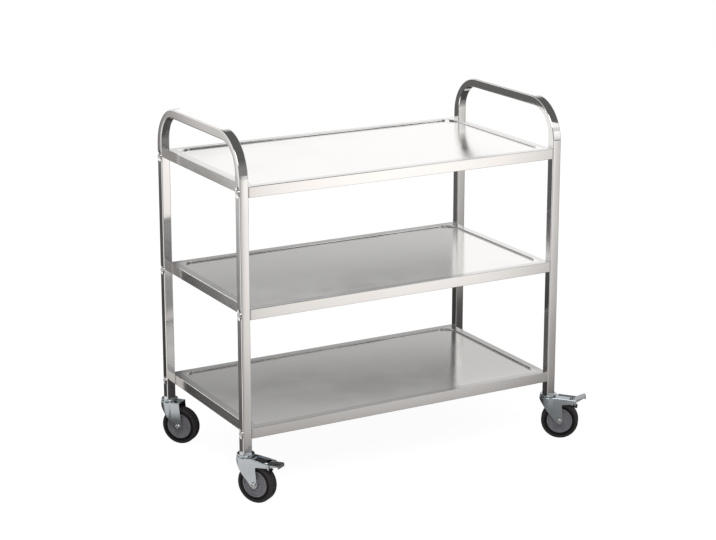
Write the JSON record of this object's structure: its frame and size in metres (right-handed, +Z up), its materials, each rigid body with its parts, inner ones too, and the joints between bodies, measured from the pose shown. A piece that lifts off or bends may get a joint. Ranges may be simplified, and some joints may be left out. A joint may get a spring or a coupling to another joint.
{
  "type": "serving trolley",
  "caption": "Stainless serving trolley: tiered tray shelves bolted between bent-tube end frames with push handles, on swivel castors with foot brakes along the front.",
  "frame": {"origin": "on the floor, midway between the end frames and midway between the front and back legs", "axes": "+X along the shelves towards the right end, -Y towards the front side with the foot brakes, +Z up"},
  "size_m": [1.0398, 0.5944, 0.944],
  "materials": {
    "stainless_tube": "bright polished stainless tube",
    "stainless_sheet": "bright annealed stainless sheet",
    "fastener": "bright stainless fasteners",
    "zinc_plate": "bluish bright zinc plate",
    "pedal_steel": "zinc plate, worn duller where it is trodden",
    "bearing_steel": "ground bearing steel",
    "grey_nylon": "moulded nylon",
    "grey_hub": "moulded grey plastic",
    "black_tyre": "smooth dark rubber tread",
    "brake_rubber": "black rubber pad"
  },
  "bodies": {
    "frame": {"end_frame_left": "stainless_tube", "end_frame_right": "stainless_tube", "shelf_top": "stainless_sheet", "shelf_middle": "stainless_sheet", "shelf_bottom": "stainless_sheet", "shelf_bolts_left": "fastener", "shelf_washers_left": "fastener", "shelf_nuts_left": "fastener", "shelf_bolts_right": "fastener", "shelf_washers_right": "fastener", "shelf_nuts_right": "fastener", "castor_insert_front_left": "grey_nylon", "castor_stem_front_left": "zinc_plate", "castor_cup_front_left": "zinc_plate", "castor_balls_front_left": "bearing_steel", "castor_insert_rear_left": "grey_nylon", "castor_stem_rear_left": "zinc_plate", "castor_cup_rear_left": "zinc_plate", "castor_balls_rear_left": "bearing_steel", "castor_insert_front_right": "grey_nylon", "castor_stem_front_right": "zinc_plate", "castor_cup_front_right": "zinc_plate", "castor_balls_front_right": "bearing_steel", "castor_insert_rear_right": "grey_nylon", "castor_stem_rear_right": "zinc_plate", "castor_cup_rear_right": "zinc_plate", "castor_balls_rear_right": "bearing_steel"},
    "swivel_front_left": {"castor_fork_front_left": "zinc_plate", "axle_bolt_front_left": "fastener", "axle_nut_front_left": "fastener", "axle_sleeve_front_left": "bearing_steel", "brake_pin_front_left": "fastener"},
    "wheel_front_left": {"wheel_hub_front_left": "grey_hub", "wheel_tyre_front_left": "black_tyre"},
    "brake_front_left": {"brake_pedal_front_left": "pedal_steel", "brake_shoe_front_left": "brake_rubber"},
    "swivel_rear_left": {"castor_fork_rear_left": "zinc_plate", "axle_bolt_rear_left": "fastener", "axle_nut_rear_left": "fastener", "axle_sleeve_rear_left": "bearing_steel"},
    "wheel_rear_left": {"wheel_hub_rear_left": "grey_hub", "wheel_tyre_rear_left": "black_tyre"},
    "swivel_front_right": {"castor_fork_front_right": "zinc_plate", "axle_bolt_front_right": "fastener", "axle_nut_front_right": "fastener", "axle_sleeve_front_right": "bearing_steel", "brake_pin_front_right": "fastener"},
    "wheel_front_right": {"wheel_hub_front_right": "grey_hub", "wheel_tyre_front_right": "black_tyre"},
    "brake_front_right": {"brake_pedal_front_right": "pedal_steel", "brake_shoe_front_right": "brake_rubber"},
    "swivel_rear_right": {"castor_fork_rear_right": "zinc_plate", "axle_bolt_rear_right": "fastener", "axle_nut_rear_right": "fastener", "axle_sleeve_rear_right": "bearing_steel"},
    "wheel_rear_right": {"wheel_hub_rear_right": "grey_hub", "wheel_tyre_rear_right": "black_tyre"}
  },
  "joints": [
    {"name": "swivel_front_left_turn", "type": "hinge", "parent": "frame", "child": "swivel_front_left", "pos_m": [-0.4625, -0.2375, 0.12], "axis": [0, 0, 1], "continuous": true},
    {"name": "wheel_front_left_spin", "type": "hinge", "parent": "swivel_front_left", "child": "wheel_front_left", "pos_m": [-0.44453, -0.26518, 0.051], "axis": [0.8387, 0.5446, 0], "continuous": true},
    {"name": "brake_front_left_pedal", "type": "hinge", "parent": "swivel_front_left", "child": "brake_front_left", "pos_m": [-0.42438, -0.29621, 0.1065], "axis": [0.8387, 0.5446, 0], "range_deg": [-22, 0]},
    {"name": "swivel_rear_left_turn", "type": "hinge", "parent": "frame", "child": "swivel_rear_left", "pos_m": [-0.4625, 0.2375, 0.12], "axis": [0, 0, 1], "continuous": true},
    {"name": "wheel_rear_left_spin", "type": "hinge", "parent": "swivel_rear_left", "child": "wheel_rear_left", "pos_m": [-0.44129, 0.21222, 0.051], "axis": [0.766, 0.6428, 0], "continuous": true},
    {"name": "swivel_front_right_turn", "type": "hinge", "parent": "frame", "child": "swivel_front_right", "pos_m": [0.4625, -0.2375, 0.12], "axis": [0, 0, 1], "continuous": true},
    {"name": "wheel_front_right_spin", "type": "hinge", "parent": "swivel_front_right", "child": "wheel_front_right", "pos_m": [0.48885, -0.25736, 0.051], "axis": [0.6018, 0.7986, 0], "continuous": true},
    {"name": "brake_front_right_pedal", "type": "hinge", "parent": "swivel_front_right", "child": "brake_front_right", "pos_m": [0.5184, -0.27963, 0.1065], "axis": [0.6018, 0.7986, 0], "range_deg": [0, 22]},
    {"name": "swivel_rear_right_turn", "type": "hinge", "parent": "frame", "child": "swivel_rear_right", "pos_m": [0.4625, 0.2375, 0.12], "axis": [0, 0, 1], "continuous": true},
    {"name": "wheel_rear_right_spin", "type": "hinge", "parent": "swivel_rear_right", "child": "wheel_rear_right", "pos_m": [0.48624, 0.21458, 0.051], "axis": [0.6947, 0.7193, 0], "continuous": true}
  ]
}
